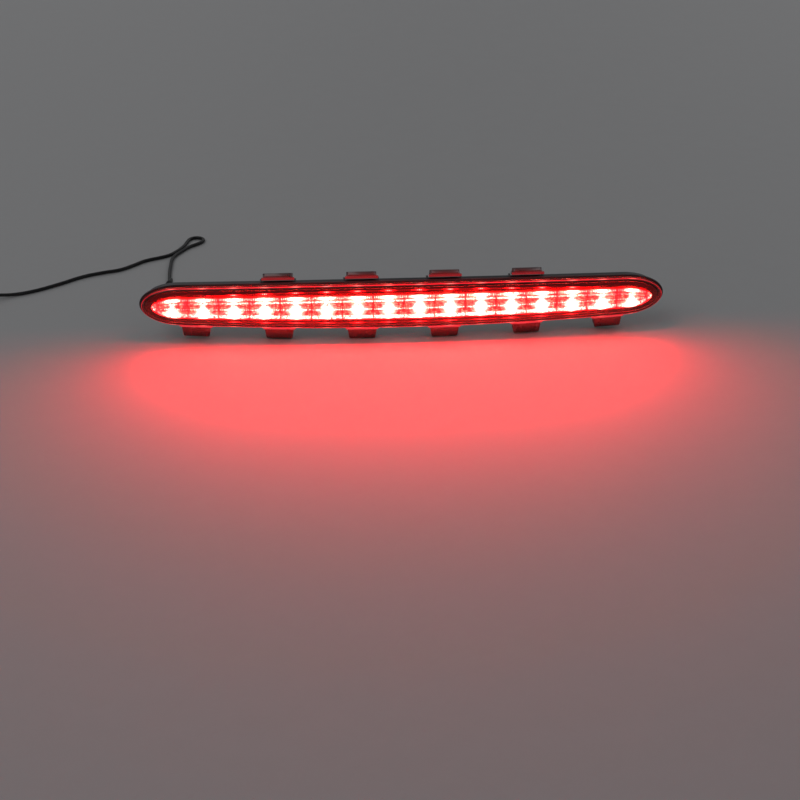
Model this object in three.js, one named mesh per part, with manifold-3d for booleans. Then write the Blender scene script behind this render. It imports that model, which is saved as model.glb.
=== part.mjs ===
// High-level brake lamp for a car's boot lid: a long bowed red lens on a black housing, with sixteen
// light-emitting diodes in chromed cells behind it, spring clips along its edges and a two-core lead.
// Millimetres, +Z up. X runs along the lamp, the lens looks towards -Y, and the lamp stands on its
// lower clips with its middle over the origin.
import * as THREE from 'three';
import { mergeVertices } from 'three/addons/utils/BufferGeometryUtils.js';
import Module from 'manifold-3d';

const wasm = await Module();
wasm.setup();

// Outline of the lens rim, which every lamp piece follows at its own inset
const HALF_LENGTH = 171;
const HALF_HEIGHT = 15.3; // at the middle
const END_TAPER = 3.0; // height lost on each edge towards the tips
const END_CAP = 24; // length of the rounded end
const BOW_RADIUS = 1625; // the lamp's bow, seen from above
const MIDDLE_STEPS = 14;
const END_STEPS = 7;
const TIP_HEIGHT = 0.4;

// Depths, from the flange's front face (0) backwards
const GAP = 0.3; // between touching pieces
const RIM_Y = -3.0; // front edge of the lens
const CROWN = 2.2; // bulge of the lens beyond its rim
const LENS_WALL = 2.0;
const OPTIC_INSET = 5.0;
const OPTIC_CROWN = 1.5;
const REFLECTOR_INSET = 5.9;
const BOARD_INSET = 6.3;
const FLANGE_THICK = 1.6;
const FLANGE_OUTSET = 1.3;
const BODY_INSET = 3.5;
const BODY_BACK = 19.0;
const BODY_WALL = 2.0;
const REFLECTOR_DEPTH = 5.0;
const BOARD_THICK = 1.6;
const GASKET_THICK = 1.1;

// Light-emitting diodes and their cells
const LED_COUNT = 16;
const LED_PITCH = 20.1;
const LED_DROP = 4.2; // below the middle of the lens, less towards the tips
const LED_SIZE = 3.5;
const LED_HOLE_RADIUS = 2.8;
const LED_FRAME = 1.1; // depth of its base
const DOME_RADIUS = 1.35;
const CELL_WALL = 0.8;

// Spring clips
const CLIP_PITCH = 54.4;
const LOWER_CLIPS = 6;
const UPPER_CLIPS = 4;
const LOWER_REACH = 10.8; // beyond the lens rim
const UPPER_REACH = 4.3;
const CLIP_WIDTH = 19.5;
const LEDGE_WIDTH = 21.5;
const CLIP_THICK = 1.5;
const CLIP_FRONT = 3.4;

// Board screws and parts
const SCREW_STATIONS = [-140.7, -60.3, 60.3, 140.7];
const SCREW_HEIGHT = 3.0;
const SCREW_RADIUS = 1.1;
const SCREW_HEAD_RADIUS = 2.2;
const BOSS_RADIUS = 3.0;
const RESISTOR_STATIONS = [-95, -35, 35, 95];
const GUARD_DIODE_X = -120;
const BOARD_PART_Z = -1;

// Lead, boot and connector
const LEAD_DIAMETER = 2.4;
const BOOT_X = -156;
const BOOT_LENGTH = 18;
const BOOT_NECK = 3.2; // radius in the housing's wall
const CONNECTOR_LENGTH = 22;
const CONNECTOR_WIDTH = 12;
const CONNECTOR_HEIGHT = 9;
const SEAL_LENGTH = 3.4;
const SEAL_RADIUS = 3.2;
const TERMINAL_OFFSET = 2.6;

// Height of the lens's middle, and the shift that centres the lamp's depth on the origin
const LENS_Z = LOWER_REACH + edgeHeight(CLIP_PITCH / 2 - CLIP_WIDTH * 0.435, 0);
const DEPTH_SHIFT = -(RIM_Y - CROWN + BODY_BACK + bow(HALF_LENGTH - BODY_INSET)) / 2;

function bow(x) {
  return (x * x) / (2 * BOW_RADIUS);
}

// How far along the rounded end a place is: 0 on the straight, 1 at the tip
function alongEnd(x, inset) {
  const start = HALF_LENGTH - END_CAP;
  return Math.min(1, Math.max(0, (Math.abs(x) - start) / (END_CAP - inset)));
}

// Height of the outline's edge above the lens's middle, at x
function edgeHeight(x, inset) {
  const straight = HALF_HEIGHT - inset - END_TAPER * (x / HALF_LENGTH) ** 2;
  return Math.max(TIP_HEIGHT, straight * Math.sqrt(1 - alongEnd(x, inset) ** 2));
}

// Even steps along the straight and even angles round each end
function stationX(step, inset) {
  const start = HALF_LENGTH - END_CAP;
  const last = 2 * END_STEPS + MIDDLE_STEPS;
  if (step < END_STEPS) {
    return -start - (END_CAP - inset) * Math.cos((Math.PI / 2) * (step / END_STEPS));
  }
  if (step > last - END_STEPS) {
    return -stationX(last - step, inset);
  }
  return -start + (2 * start * (step - END_STEPS)) / MIDDLE_STEPS;
}

function moveVertices(geometry, move) {
  const place = geometry.attributes.position;
  const vertex = new THREE.Vector3();
  for (let i = 0; i < place.count; i += 1) {
    move(vertex.fromBufferAttribute(place, i));
    place.setXYZ(i, vertex.x, vertex.y, vertex.z);
  }
  geometry.computeVertexNormals();
  return geometry;
}

function polygon(points) {
  return new THREE.Shape(points.map(([a, b]) => new THREE.Vector2(a, b)));
}

function circle(radius, sides) {
  return polygon(Array.from({ length: sides }, (_, i) => {
    const angle = (2 * Math.PI * (i + 0.5)) / sides;
    return [radius * Math.cos(angle), radius * Math.sin(angle)];
  }));
}

// A section drawn as (depth, share of the edge height) and run along the whole lamp
function lampForm(section, inset, crown = 0) {
  const steps = 2 * END_STEPS + MIDDLE_STEPS;
  const run = { depth: steps, steps, bevelEnabled: false };
  const geometry = new THREE.ExtrudeGeometry(polygon(section), run);
  const front = Math.min(...section.map(([depth]) => depth));
  return moveVertices(geometry, (v) => {
    const [depth, share] = [v.x, v.y];
    const x = stationX(Math.round(v.z), inset);
    const fade = Math.sqrt(1 - alongEnd(x, inset) ** 2);
    const bulge = depth < front + 0.01 ? crown * fade * Math.max(0, 1 - (share / 0.95) ** 2) : 0;
    v.set(x, depth - bulge + bow(x), share * edgeHeight(x, inset));
  });
}

function slab(front, back) {
  return [[front, -1], [back, -1], [back, 1], [front, 1]];
}

function toSolid(geometry) {
  const bare = geometry.clone();
  bare.deleteAttribute('normal');
  bare.deleteAttribute('uv');
  const merged = mergeVertices(bare, 1e-4);
  return new wasm.Manifold(new wasm.Mesh({
    numProp: 3,
    vertProperties: new Float32Array(merged.attributes.position.array),
    triVerts: new Uint32Array(merged.index.array),
  }));
}

function toGeometry(solid) {
  const mesh = solid.getMesh();
  const geometry = new THREE.BufferGeometry();
  geometry.setAttribute('position', new THREE.BufferAttribute(mesh.vertProperties, 3));
  geometry.setIndex(new THREE.BufferAttribute(mesh.triVerts, 1));
  geometry.computeVertexNormals();
  return geometry;
}

function join(first, ...others) {
  return toGeometry(others.reduce((solid, other) => solid.add(toSolid(other)), toSolid(first)));
}

function cut(first, ...tools) {
  return toGeometry(tools.reduce((solid, tool) => solid.subtract(toSolid(tool)), toSolid(first)));
}

// A round pin or hole along Y at a place on the lamp
function pin(radius, x, front, back, z, sides = 12) {
  const geometry = new THREE.CylinderGeometry(radius, radius, back - front, sides);
  return geometry.translate(x, (front + back) / 2 + bow(x), z);
}

function box(width, depth, height, x, y, z) {
  return new THREE.BoxGeometry(width, depth, height).translate(x, y, z);
}

function finish(color, roughness, metalness = 0) {
  return new THREE.MeshStandardMaterial({ color, roughness, metalness });
}

function piece(name, geometry, material) {
  const mesh = new THREE.Mesh(geometry, material);
  mesh.name = name;
  return mesh;
}

// Red moulded lens: a shallow crowned dish, open at the back
function outerLens() {
  const shares = [-0.95, -0.64, -0.32, 0, 0.32, 0.64, 0.95];
  const front = shares.map((share) => [RIM_Y, share]);
  const edge = RIM_Y + 0.7;
  const outer = [[-GAP, -1], [edge, -1], ...front, [edge, 1], [-GAP, 1]];
  const inside = RIM_Y + LENS_WALL;
  const inner = shares.map((share) => [inside, share]);
  const hollow = [[GAP, -1], [inside + 0.3, -1], ...inner, [inside + 0.3, 1], [GAP, 1]];
  const dish = cut(lampForm(outer, 0, CROWN), lampForm(hollow, LENS_WALL, CROWN));
  return piece('outer_lens', dish, finish(0xc00d12, 0.12));
}

// Fluted inner lens that spreads the light of the cells
function innerOptic() {
  const shares = [-0.9, -0.6, -0.3, 0, 0.3, 0.6, 0.9];
  const front = shares.map((share) => [-0.9, share]);
  const section = [[-GAP, -1], [-0.7, -1], ...front, [-0.7, 1], [-GAP, 1]];
  const form = lampForm(section, OPTIC_INSET, OPTIC_CROWN);
  return piece('inner_optic', form, finish(0xe0484a, 0.1));
}

// One scooped cell: wide at the front, closing on the diode's hole at the back
function reflectorCell(x) {
  const run = { depth: 1, steps: 3, bevelEnabled: false };
  const geometry = new THREE.ExtrudeGeometry(circle(1, 12), run);
  const halfWidth = LED_PITCH / 2 - CELL_WALL / 2;
  const outerEdge = Math.abs(x) + halfWidth;
  const halfHeight = edgeHeight(outerEdge, REFLECTOR_INSET + CELL_WALL);
  return moveVertices(geometry, (v) => {
    const [a, b, t] = [v.x, v.y, v.z];
    const squareness = 1 + 0.22 * (1 - t) * (2 * Math.abs(a * b)) ** 2;
    const wide = LED_HOLE_RADIUS + (halfWidth - LED_HOLE_RADIUS) * Math.sqrt(1 - t);
    const high = LED_HOLE_RADIUS + (halfHeight - LED_HOLE_RADIUS) * Math.sqrt(1 - t);
    const reach = REFLECTOR_DEPTH + 1.2;
    const across = x - a * wide * Math.min(squareness, halfWidth / wide / Math.max(0.01, Math.abs(a)));
    const drop = ledDrop(x) * Math.min(1, 1.35 * t);
    v.set(across, -0.6 + t * reach + bow(x), b * high * squareness * 0.94 - drop);
  });
}

// Chromed tray with one cell for each diode
function reflector() {
  const tray = lampForm(slab(0, REFLECTOR_DEPTH), REFLECTOR_INSET);
  const cells = ledStations().map((x) => reflectorCell(x));
  const relief = SCREW_STATIONS.map((x) => {
    const radius = SCREW_HEAD_RADIUS + 0.6;
    return pin(radius, x, REFLECTOR_DEPTH - 1.2, REFLECTOR_DEPTH + 1, SCREW_HEIGHT, 8);
  });
  return piece('reflector', cut(tray, ...cells, ...relief), finish(0xd8d8dc, 0.12, 1));
}

function ledDrop(x) {
  return (LED_DROP * edgeHeight(x, REFLECTOR_INSET)) / edgeHeight(0, REFLECTOR_INSET);
}

function ledStations() {
  return Array.from({ length: LED_COUNT }, (_, i) => (i - (LED_COUNT - 1) / 2) * LED_PITCH);
}

function ledBoard() {
  const front = REFLECTOR_DEPTH + GAP;
  const sheet = lampForm(slab(front, front + BOARD_THICK), BOARD_INSET);
  const radius = SCREW_RADIUS + GAP;
  const holes = SCREW_STATIONS.map((x) => pin(radius, x, front - 1, front + 4, SCREW_HEIGHT, 8));
  return piece('led_board', cut(sheet, ...holes), finish(0x1d5a34, 0.5));
}

// Diode package with its clear dome
function led(x, index) {
  const back = REFLECTOR_DEPTH + bow(x) - GAP;
  const base = box(LED_SIZE, LED_FRAME, LED_SIZE, x, back - LED_FRAME / 2, -ledDrop(x));
  const crown = [0, 30, 60, 90].map((degrees) => {
    const angle = THREE.MathUtils.degToRad(degrees);
    return [DOME_RADIUS * Math.cos(angle), DOME_RADIUS * Math.sin(angle)];
  });
  const sunk = [[0, -0.4], [DOME_RADIUS, -0.4]];
  const profile = [...sunk, ...crown].map(([r, along]) => new THREE.Vector2(r, along));
  const dome = new THREE.LatheGeometry(profile, 10);
  dome.rotateX(Math.PI);
  dome.translate(x, back - LED_FRAME, -ledDrop(x));
  return piece(`led_${String(index + 1).padStart(2, '0')}`, join(base, dome), finish(0xffe0d8, 0.25));
}

// Pan-head screw through the board into its boss
function boardScrew(x, index) {
  const seat = REFLECTOR_DEPTH;
  const head = pin(SCREW_HEAD_RADIUS, x, seat - 0.9, seat, SCREW_HEIGHT, 12);
  const shank = pin(SCREW_RADIUS, x, seat - 0.2, seat + 9, SCREW_HEIGHT, 8);
  return piece(`board_screw_${index + 1}`, join(head, shank), finish(0xb8b8ba, 0.35, 1));
}

// Parts soldered on the back of the board
function boardPart(name, radius, length, x, z, color) {
  const back = REFLECTOR_DEPTH + GAP + BOARD_THICK;
  const body = new THREE.CylinderGeometry(radius, radius, length, 12).rotateZ(Math.PI / 2);
  body.translate(x, back + GAP + radius + bow(x) + 0.3, z);
  return piece(name, body, finish(color, 0.45));
}

// Black housing: flange, deep body, bosses for the board, and the boot's hole
function rearHousing() {
  const edge = BODY_BACK - 3;
  const body = [[1, -1], [edge, -1], [BODY_BACK, -0.78], [BODY_BACK, 0.78], [edge, 1], [1, 1]];
  const floor = BODY_BACK - BODY_WALL;
  const hollow = [[-1, -1], [floor - 1.5, -1], [floor, -0.86], [floor, 0.86], [floor - 1.5, 1], [-1, 1]];
  const bossFront = REFLECTOR_DEPTH + GAP + BOARD_THICK + GAP;
  const bosses = SCREW_STATIONS.map((x) => {
    return pin(BOSS_RADIUS, x, bossFront, floor + 0.8, SCREW_HEIGHT, 12);
  });
  const bossHoles = SCREW_STATIONS.map((x) => {
    return pin(SCREW_RADIUS + GAP, x, bossFront - 1, bossFront + 8, SCREW_HEIGHT, 8);
  });
  const flange = lampForm(slab(0, FLANGE_THICK), -FLANGE_OUTSET);
  const shell = cut(join(flange, lampForm(body, BODY_INSET)), lampForm(hollow, BODY_INSET + BODY_WALL));
  const bootHole = pin(BOOT_NECK + GAP, BOOT_X, floor - 3, BODY_BACK + 3, 0, 16);
  return piece('rear_housing', cut(join(shell, ...bosses), ...bossHoles, bootHole), finish(0x141416, 0.55));
}

// Foam seal on the back of the flange, round the body
function flangeGasket() {
  const front = FLANGE_THICK + GAP;
  const ring = lampForm(slab(front, front + GASKET_THICK), 0.5);
  const hole = lampForm(slab(front - 1, front + GASKET_THICK + 1), BODY_INSET - GAP);
  return piece('flange_gasket', cut(ring, hole), finish(0x1b1b1b, 0.95));
}

// Outline of a strip of even thickness along a centre line
function strip(line, thick) {
  const points = line.map(([a, b]) => new THREE.Vector2(a, b));
  const sides = [[], []];
  points.forEach((point, i) => {
    const before = points[Math.max(0, i - 1)];
    const after = points[Math.min(points.length - 1, i + 1)];
    const into = (i ? point.clone().sub(before) : after.clone().sub(point)).normalize();
    const out = (i < points.length - 1 ? after.clone().sub(point) : into.clone()).normalize();
    const normal = new THREE.Vector2(-into.y - out.y, into.x + out.x).normalize();
    const reach = thick / 2 / Math.max(0.3, normal.dot(new THREE.Vector2(-into.y, into.x)));
    sides[0].push([point.x + normal.x * reach, point.y + normal.y * reach]);
    sides[1].unshift([point.x - normal.x * reach, point.y - normal.y * reach]);
  });
  return [...sides[0], ...sides[1]];
}

// Bar along X, drawn as (depth, distance beyond the lens rim) on the upper or lower edge of the lamp
function edgeBar(section, width, x, side, narrowing = 0) {
  const geometry = new THREE.ExtrudeGeometry(polygon(section), { depth: 2, steps: 2, bevelEnabled: false });
  return moveVertices(geometry, (v) => {
    const [depth, beyond] = [v.x, v.y];
    const share = 1 - narrowing * Math.max(0, beyond);
    const place = x + side * (v.z - 1) * (width / 2) * share;
    v.set(place, depth + bow(place), side * (edgeHeight(place, 0) + beyond));
  });
}

// Moulded spring clip: front leg with a catching ledge, foot, and a ramp back to its root
function springClip(name, x, side, reach) {
  const leg = CLIP_FRONT + CLIP_THICK / 2;
  const top = reach - CLIP_THICK / 2;
  const inner = 2.0;
  const root = -(BODY_INSET - GAP) + CLIP_THICK / 2;
  const line = [[leg, inner], [leg, top - 1.2], [leg + 0.4, top - 0.35], [leg + 1.3, top],
    [10.2, top], [11.2, top - 0.5], [15.2, root + 0.5], [16.1, root], [18, root]];
  const ledge = [[CLIP_FRONT - 0.4, inner], [CLIP_FRONT + 1, inner], [CLIP_FRONT + 1, inner + 2.0],
    [CLIP_FRONT - 0.4, inner + 1.6]];
  const body = join(
    edgeBar(strip(line, CLIP_THICK), CLIP_WIDTH, x, side, 0.012),
    edgeBar(ledge, LEDGE_WIDTH, x, side),
  );
  return piece(name, body, finish(0x2a0f10, 0.4));
}

function clipStations(count) {
  return Array.from({ length: count }, (_, i) => (i - (count - 1) / 2) * CLIP_PITCH);
}

// Strain relief boot, held in the housing's back wall, square to it
function leadBoot() {
  const wall = BODY_WALL;
  const profile = [[0, -wall - 1.6], [4, -wall - 1.6], [4, -wall - GAP], [BOOT_NECK, -wall - GAP],
    [BOOT_NECK, GAP], [4.8, GAP], [4.8, 1.6], [3.6, 2.4], [3.1, 8], [2.5, 13], [2.0, BOOT_LENGTH],
    [0, BOOT_LENGTH]];
  const boot = new THREE.LatheGeometry(profile.map(([r, along]) => new THREE.Vector2(r, along)), 16);
  const mesh = piece('lead_boot', boot, finish(0x101010, 0.7));
  mesh.position.set(BOOT_X, BODY_BACK + bow(BOOT_X), 0);
  mesh.rotation.z = Math.atan(BOOT_X / BOW_RADIUS);
  return mesh;
}

function tube(points, radius, steps) {
  const path = new THREE.CatmullRomCurve3(points.map((p) => new THREE.Vector3(...p)), false, 'centripetal');
  return new THREE.ExtrudeGeometry(circle(radius, 8), { steps, extrudePath: path, bevelEnabled: false });
}

// The lead's two cores inside the housing, from the boot to the board
function innerWire(index, side, color) {
  const boardBack = REFLECTOR_DEPTH + GAP + BOARD_THICK;
  const start = BODY_BACK - BODY_WALL - 1.6 - GAP + bow(BOOT_X) - 0.4;
  const points = [[BOOT_X + 0.5, start, side * 1.6], [BOOT_X + 0.8, start - 2, side * 1.7],
    [BOOT_X + 5, start - 4.2, side * 2.4], [BOOT_X + 7.5, boardBack + bow(BOOT_X + 7.5) + 2.5, side * 3],
    [BOOT_X + 7.8, boardBack + bow(BOOT_X + 7.8) + GAP + 0.1, side * 3]];
  return piece(`inner_wire_${index}`, tube(points, 0.6, 8), finish(color, 0.5));
}

function lampPieces() {
  const group = new THREE.Group();
  group.add(outerLens(), innerOptic(), reflector(), ledBoard(), rearHousing(), flangeGasket(), leadBoot());
  ledStations().forEach((x, i) => group.add(led(x, i)));
  SCREW_STATIONS.forEach((x, i) => group.add(boardScrew(x, i)));
  RESISTOR_STATIONS.forEach((x, i) => {
    group.add(boardPart(`resistor_${i + 1}`, 1.6, 8, x, BOARD_PART_Z, 0x2f5f8f));
  });
  group.add(boardPart('guard_diode', 1.4, 5.2, GUARD_DIODE_X, BOARD_PART_Z, 0x161616));
  group.add(innerWire(1, 1, 0xa01818), innerWire(2, -1, 0x181818));
  clipStations(LOWER_CLIPS).forEach((x, i) => {
    group.add(springClip(`lower_clip_${i + 1}`, x, -1, LOWER_REACH));
  });
  clipStations(UPPER_CLIPS).forEach((x, i) => {
    group.add(springClip(`upper_clip_${i + 1}`, x, 1, UPPER_REACH));
  });
  group.position.set(0, DEPTH_SHIFT, LENS_Z);
  return group;
}

// Route of the lead, out of the boot, down to the ground, round a slack loop and off to the left
const LEAD_ROUTE = [
  [-154.25, 33.5, 26.06], [-153.8, 38.5, 25.6], [-154.0, 46, 22.6], [-154.8, 56, 16.6],
  [-156.0, 67, 9.6], [-157.2, 78, 4.4], [-158.2, 89, 1.9], [-158.9, 100, 1.25],
  [-159.2, 112, 1.25], [-159.0, 124, 1.25], [-158.6, 133, 1.25], [-156.9, 140, 1.25],
  [-153.7, 146, 1.25], [-149.8, 152.5, 1.25], [-146.2, 157.5, 1.25], [-141.4, 161.7, 1.25],
  [-137.9, 166.2, 1.25], [-137.4, 170.2, 1.25], [-139.9, 173.4, 1.25], [-143.9, 173.9, 1.25],
  [-147.1, 171.4, 1.25], [-149.1, 166.1, 1.25], [-150.6, 159.8, 1.25], [-153.2, 153.2, 1.25],
  [-156.8, 146.8, 1.25], [-160.6, 141.6, 1.25], [-166.6, 137.6, 1.25], [-177.6, 131.9, 1.25],
  [-186.4, 123.2, 1.25], [-195.0, 116.0, 1.25], [-204.8, 112.4, 1.25], [-219.4, 105.6, 1.25],
  [-235.4, 93.0, 1.25], [-254.0, 80.6, 1.25], [-266.0, 75.6, 1.6], [-275.0, 72.4, 2.9],
  [-284.0, 69.4, 4.5],
];
const LEAD_STEPS = 130;

function lead() {
  return piece('lead', tube(LEAD_ROUTE, LEAD_DIAMETER / 2, LEAD_STEPS), finish(0x0c0c0c, 0.55));
}

// Two-way plug on the lead's end, drawn with its mouth towards +X from its wire end
function connector() {
  const group = new THREE.Group();
  const middle = CONNECTOR_HEIGHT / 2;
  const seal = new THREE.CylinderGeometry(SEAL_RADIUS, SEAL_RADIUS, SEAL_LENGTH, 14);
  seal.rotateZ(Math.PI / 2).translate(SEAL_LENGTH / 2, 0, middle);
  const start = SEAL_LENGTH + GAP;
  const centre = start + CONNECTOR_LENGTH / 2;
  const block = box(CONNECTOR_LENGTH, CONNECTOR_WIDTH, CONNECTOR_HEIGHT - 2, centre, 0, middle - 1);
  const collar = box(6, CONNECTOR_WIDTH + 1.6, CONNECTOR_HEIGHT - 1.4, start + 4, 0, middle - 0.7);
  const sides = [-TERMINAL_OFFSET, TERMINAL_OFFSET];
  const mouths = sides.map((y) => box(12, 2.6, 2.6, start + CONNECTOR_LENGTH - 5, y, middle - 1));
  const pivot = box(3, 5, 1.2, start + 12, 0, CONNECTOR_HEIGHT - 1.6);
  const shell = cut(join(block, collar, pivot), ...mouths);
  group.add(piece('wire_seal', seal, finish(0x7a2a1a, 0.8)));
  group.add(piece('connector_housing', shell, finish(0x151517, 0.5)));
  sides.forEach((y, i) => {
    const blade = box(9, 1.6, 0.8, start + CONNECTOR_LENGTH - 6, y, middle - 1);
    group.add(piece(`terminal_${i + 1}`, blade, finish(0xc9a24a, 0.3, 1)));
  });
  const arm = box(13.5, 5, 1.1, start + 14.75, 0, CONNECTOR_HEIGHT - 0.15);
  const nose = box(1.8, 5, 1.3, start + CONNECTOR_LENGTH - 1.4, 0, CONNECTOR_HEIGHT - 1.05);
  group.add(piece('lock_lever', join(arm, nose), finish(0x151517, 0.5)));
  const last = new THREE.Vector3(...LEAD_ROUTE[LEAD_ROUTE.length - 1]);
  const before = new THREE.Vector3(...LEAD_ROUTE[LEAD_ROUTE.length - 2]);
  const away = last.clone().sub(before).setZ(0).normalize();
  group.position.set(last.x + away.x * GAP, last.y + away.y * GAP, 0);
  group.rotation.z = Math.atan2(away.y, away.x);
  return group;
}

const brakeLamp = new THREE.Group();
brakeLamp.add(lampPieces(), lead(), connector());

export default brakeLamp;
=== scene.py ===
# Third brake light for a car's boot lid, lit, standing on its lower clips.
# Metres, +Z up. X runs along the lamp, and the lens looks towards -Y.
import math

import bmesh
import bpy
from mathutils import Matrix, Vector


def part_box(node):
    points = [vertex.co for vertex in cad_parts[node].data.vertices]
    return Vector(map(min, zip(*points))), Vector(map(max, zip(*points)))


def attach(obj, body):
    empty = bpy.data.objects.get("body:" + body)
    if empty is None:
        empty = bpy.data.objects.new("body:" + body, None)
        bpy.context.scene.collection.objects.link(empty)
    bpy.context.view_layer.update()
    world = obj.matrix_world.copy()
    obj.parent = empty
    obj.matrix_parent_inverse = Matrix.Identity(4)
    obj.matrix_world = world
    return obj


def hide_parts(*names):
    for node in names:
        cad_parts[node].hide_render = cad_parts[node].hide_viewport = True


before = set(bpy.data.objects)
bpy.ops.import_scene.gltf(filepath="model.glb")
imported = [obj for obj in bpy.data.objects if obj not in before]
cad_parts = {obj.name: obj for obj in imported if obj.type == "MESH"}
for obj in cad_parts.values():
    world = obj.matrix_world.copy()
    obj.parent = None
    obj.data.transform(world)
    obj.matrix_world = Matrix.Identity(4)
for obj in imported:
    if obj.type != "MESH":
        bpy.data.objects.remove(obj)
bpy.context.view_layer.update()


# --- Camera -----------------------------------------------------------------------------------------
# A long lens in front of the lamp, a little to its left and above it. It looks down past the lamp, so
# the lamp lies high in the frame with the floor that it lights below it.
mm = 0.001
lens_low, lens_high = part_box("outer_lens")
lens_middle_z = (lens_low[2] + lens_high[2]) / 2
flange_front_y = lens_low[1] + 5.2 * mm
height_angle = math.radians(24)
side_angle = math.radians(3.5)
camera_distance = 1.25
focal_length = 86.1
looks_down = math.radians(90 - 26.87)
looks_right = math.radians(-3.375)
lamp_middle = Vector((0, flange_front_y, lens_middle_z))
towards = Vector((
    math.sin(side_angle) * math.cos(height_angle),
    math.cos(side_angle) * math.cos(height_angle),
    -math.sin(height_angle),
))
camera_data = bpy.data.cameras.new("camera")
camera_data.lens = focal_length
camera_data.sensor_width = 36
camera = bpy.data.objects.new("camera", camera_data)
camera.location = lamp_middle - towards * camera_distance
camera.rotation_euler = (looks_down, 0, looks_right)
bpy.context.collection.objects.link(camera)
bpy.context.scene.camera = camera
bpy.context.scene.view_settings.view_transform = "Standard"


# --- Lead -------------------------------------------------------------------------------------------
# Thin two-core lead in a soft black sheath. It leaves the boot, drops to the ground, doubles back in a
# slim slack loop and runs off to the left to its plug.
lead_diameter = 2.4 * mm
lead_route = [
    (-154.25, 33.5, 26.06), (-153.8, 38.5, 25.6), (-154.0, 46, 22.6), (-154.8, 56, 16.6),
    (-156.0, 67, 9.6), (-157.2, 78, 4.4), (-158.2, 89, 1.9), (-158.9, 100, 1.25),
    (-159.2, 112, 1.25), (-159.0, 124, 1.25), (-158.6, 133, 1.25), (-156.9, 140, 1.25),
    (-153.7, 146, 1.25), (-149.8, 152.5, 1.25), (-146.2, 157.5, 1.25), (-141.4, 161.7, 1.25),
    (-137.9, 166.2, 1.25), (-137.4, 170.1, 1.25), (-139.9, 173.2, 1.25), (-143.9, 173.7, 1.25),
    (-147.1, 171.4, 1.25), (-149.1, 166.1, 1.25), (-150.6, 159.8, 1.25), (-153.2, 153.2, 1.25),
    (-156.8, 146.8, 1.25), (-160.6, 141.6, 1.25), (-166.6, 137.6, 1.25), (-177.6, 131.9, 1.25),
    (-186.4, 123.2, 1.25), (-195.0, 116.0, 1.25), (-204.8, 112.4, 1.25), (-219.4, 105.6, 1.25),
    (-235.4, 93.0, 1.25), (-254.0, 80.6, 1.25), (-266.0, 75.6, 1.6), (-275.0, 72.4, 2.9),
    (-284.0, 69.4, 4.5),
]


def calculate(tree, operation, first, second=None, clamp=False):
    """One Math node. Its inputs are numbers or other nodes' outputs, and it gives its output."""
    node = tree.nodes.new("ShaderNodeMath")
    node.operation = operation
    node.use_clamp = clamp
    for socket, value in zip(node.inputs, (first, second)):
        if isinstance(value, (int, float)):
            socket.default_value = value
        elif value is not None:
            tree.links.new(value, socket)
    return node.outputs[0]


def make_moulded_grain():
    """Fine moulded grain, soft cloudy wear and dust specks, for plastic, rubber, lacquer and metal."""
    group = bpy.data.node_groups.new("moulded_grain", "ShaderNodeTree")
    sockets = group.interface
    for name, value in (("Grain Scale", 2500.0), ("Cloud Scale", 60.0)):
        socket = sockets.new_socket(name=name, in_out="INPUT", socket_type="NodeSocketFloat")
        socket.default_value = value
    for name in ("Height", "Cloud", "Specks"):
        sockets.new_socket(name=name, in_out="OUTPUT", socket_type="NodeSocketFloat")
    enter = group.nodes.new("NodeGroupInput")
    leave = group.nodes.new("NodeGroupOutput")
    place = group.nodes.new("ShaderNodeTexCoord")
    grain = group.nodes.new("ShaderNodeTexNoise")
    grain.inputs["Detail"].default_value = 3
    cloud = group.nodes.new("ShaderNodeTexNoise")
    cloud.inputs["Detail"].default_value = 5
    cloud.inputs["Roughness"].default_value = 0.62
    specks = group.nodes.new("ShaderNodeTexVoronoi")
    specks.inputs["Scale"].default_value = 420
    for texture, scale in ((grain, "Grain Scale"), (cloud, "Cloud Scale")):
        group.links.new(place.outputs["Object"], texture.inputs["Vector"])
        group.links.new(enter.outputs[scale], texture.inputs["Scale"])
    group.links.new(place.outputs["Object"], specks.inputs["Vector"])
    small = calculate(group, "LESS_THAN", specks.outputs["Distance"], 0.11)
    rare = calculate(group, "GREATER_THAN", cloud.outputs["Fac"], 0.56)
    group.links.new(grain.outputs["Fac"], leave.inputs["Height"])
    group.links.new(cloud.outputs["Fac"], leave.inputs["Cloud"])
    group.links.new(calculate(group, "MULTIPLY", small, rare), leave.inputs["Specks"])
    return group


moulded_grain = make_moulded_grain()


def colour_by(tree, value, stops):
    """A colour ramp fed by value, with (position, colour) stops."""
    node = tree.nodes.new("ShaderNodeValToRGB")
    ramp = node.color_ramp
    while len(ramp.elements) < len(stops):
        ramp.elements.new(0.5)
    for element, (position, colour) in zip(ramp.elements, stops):
        element.position = position
        element.color = (*colour, 1)
    tree.links.new(value, node.inputs["Fac"])
    return node.outputs["Color"]


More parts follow.
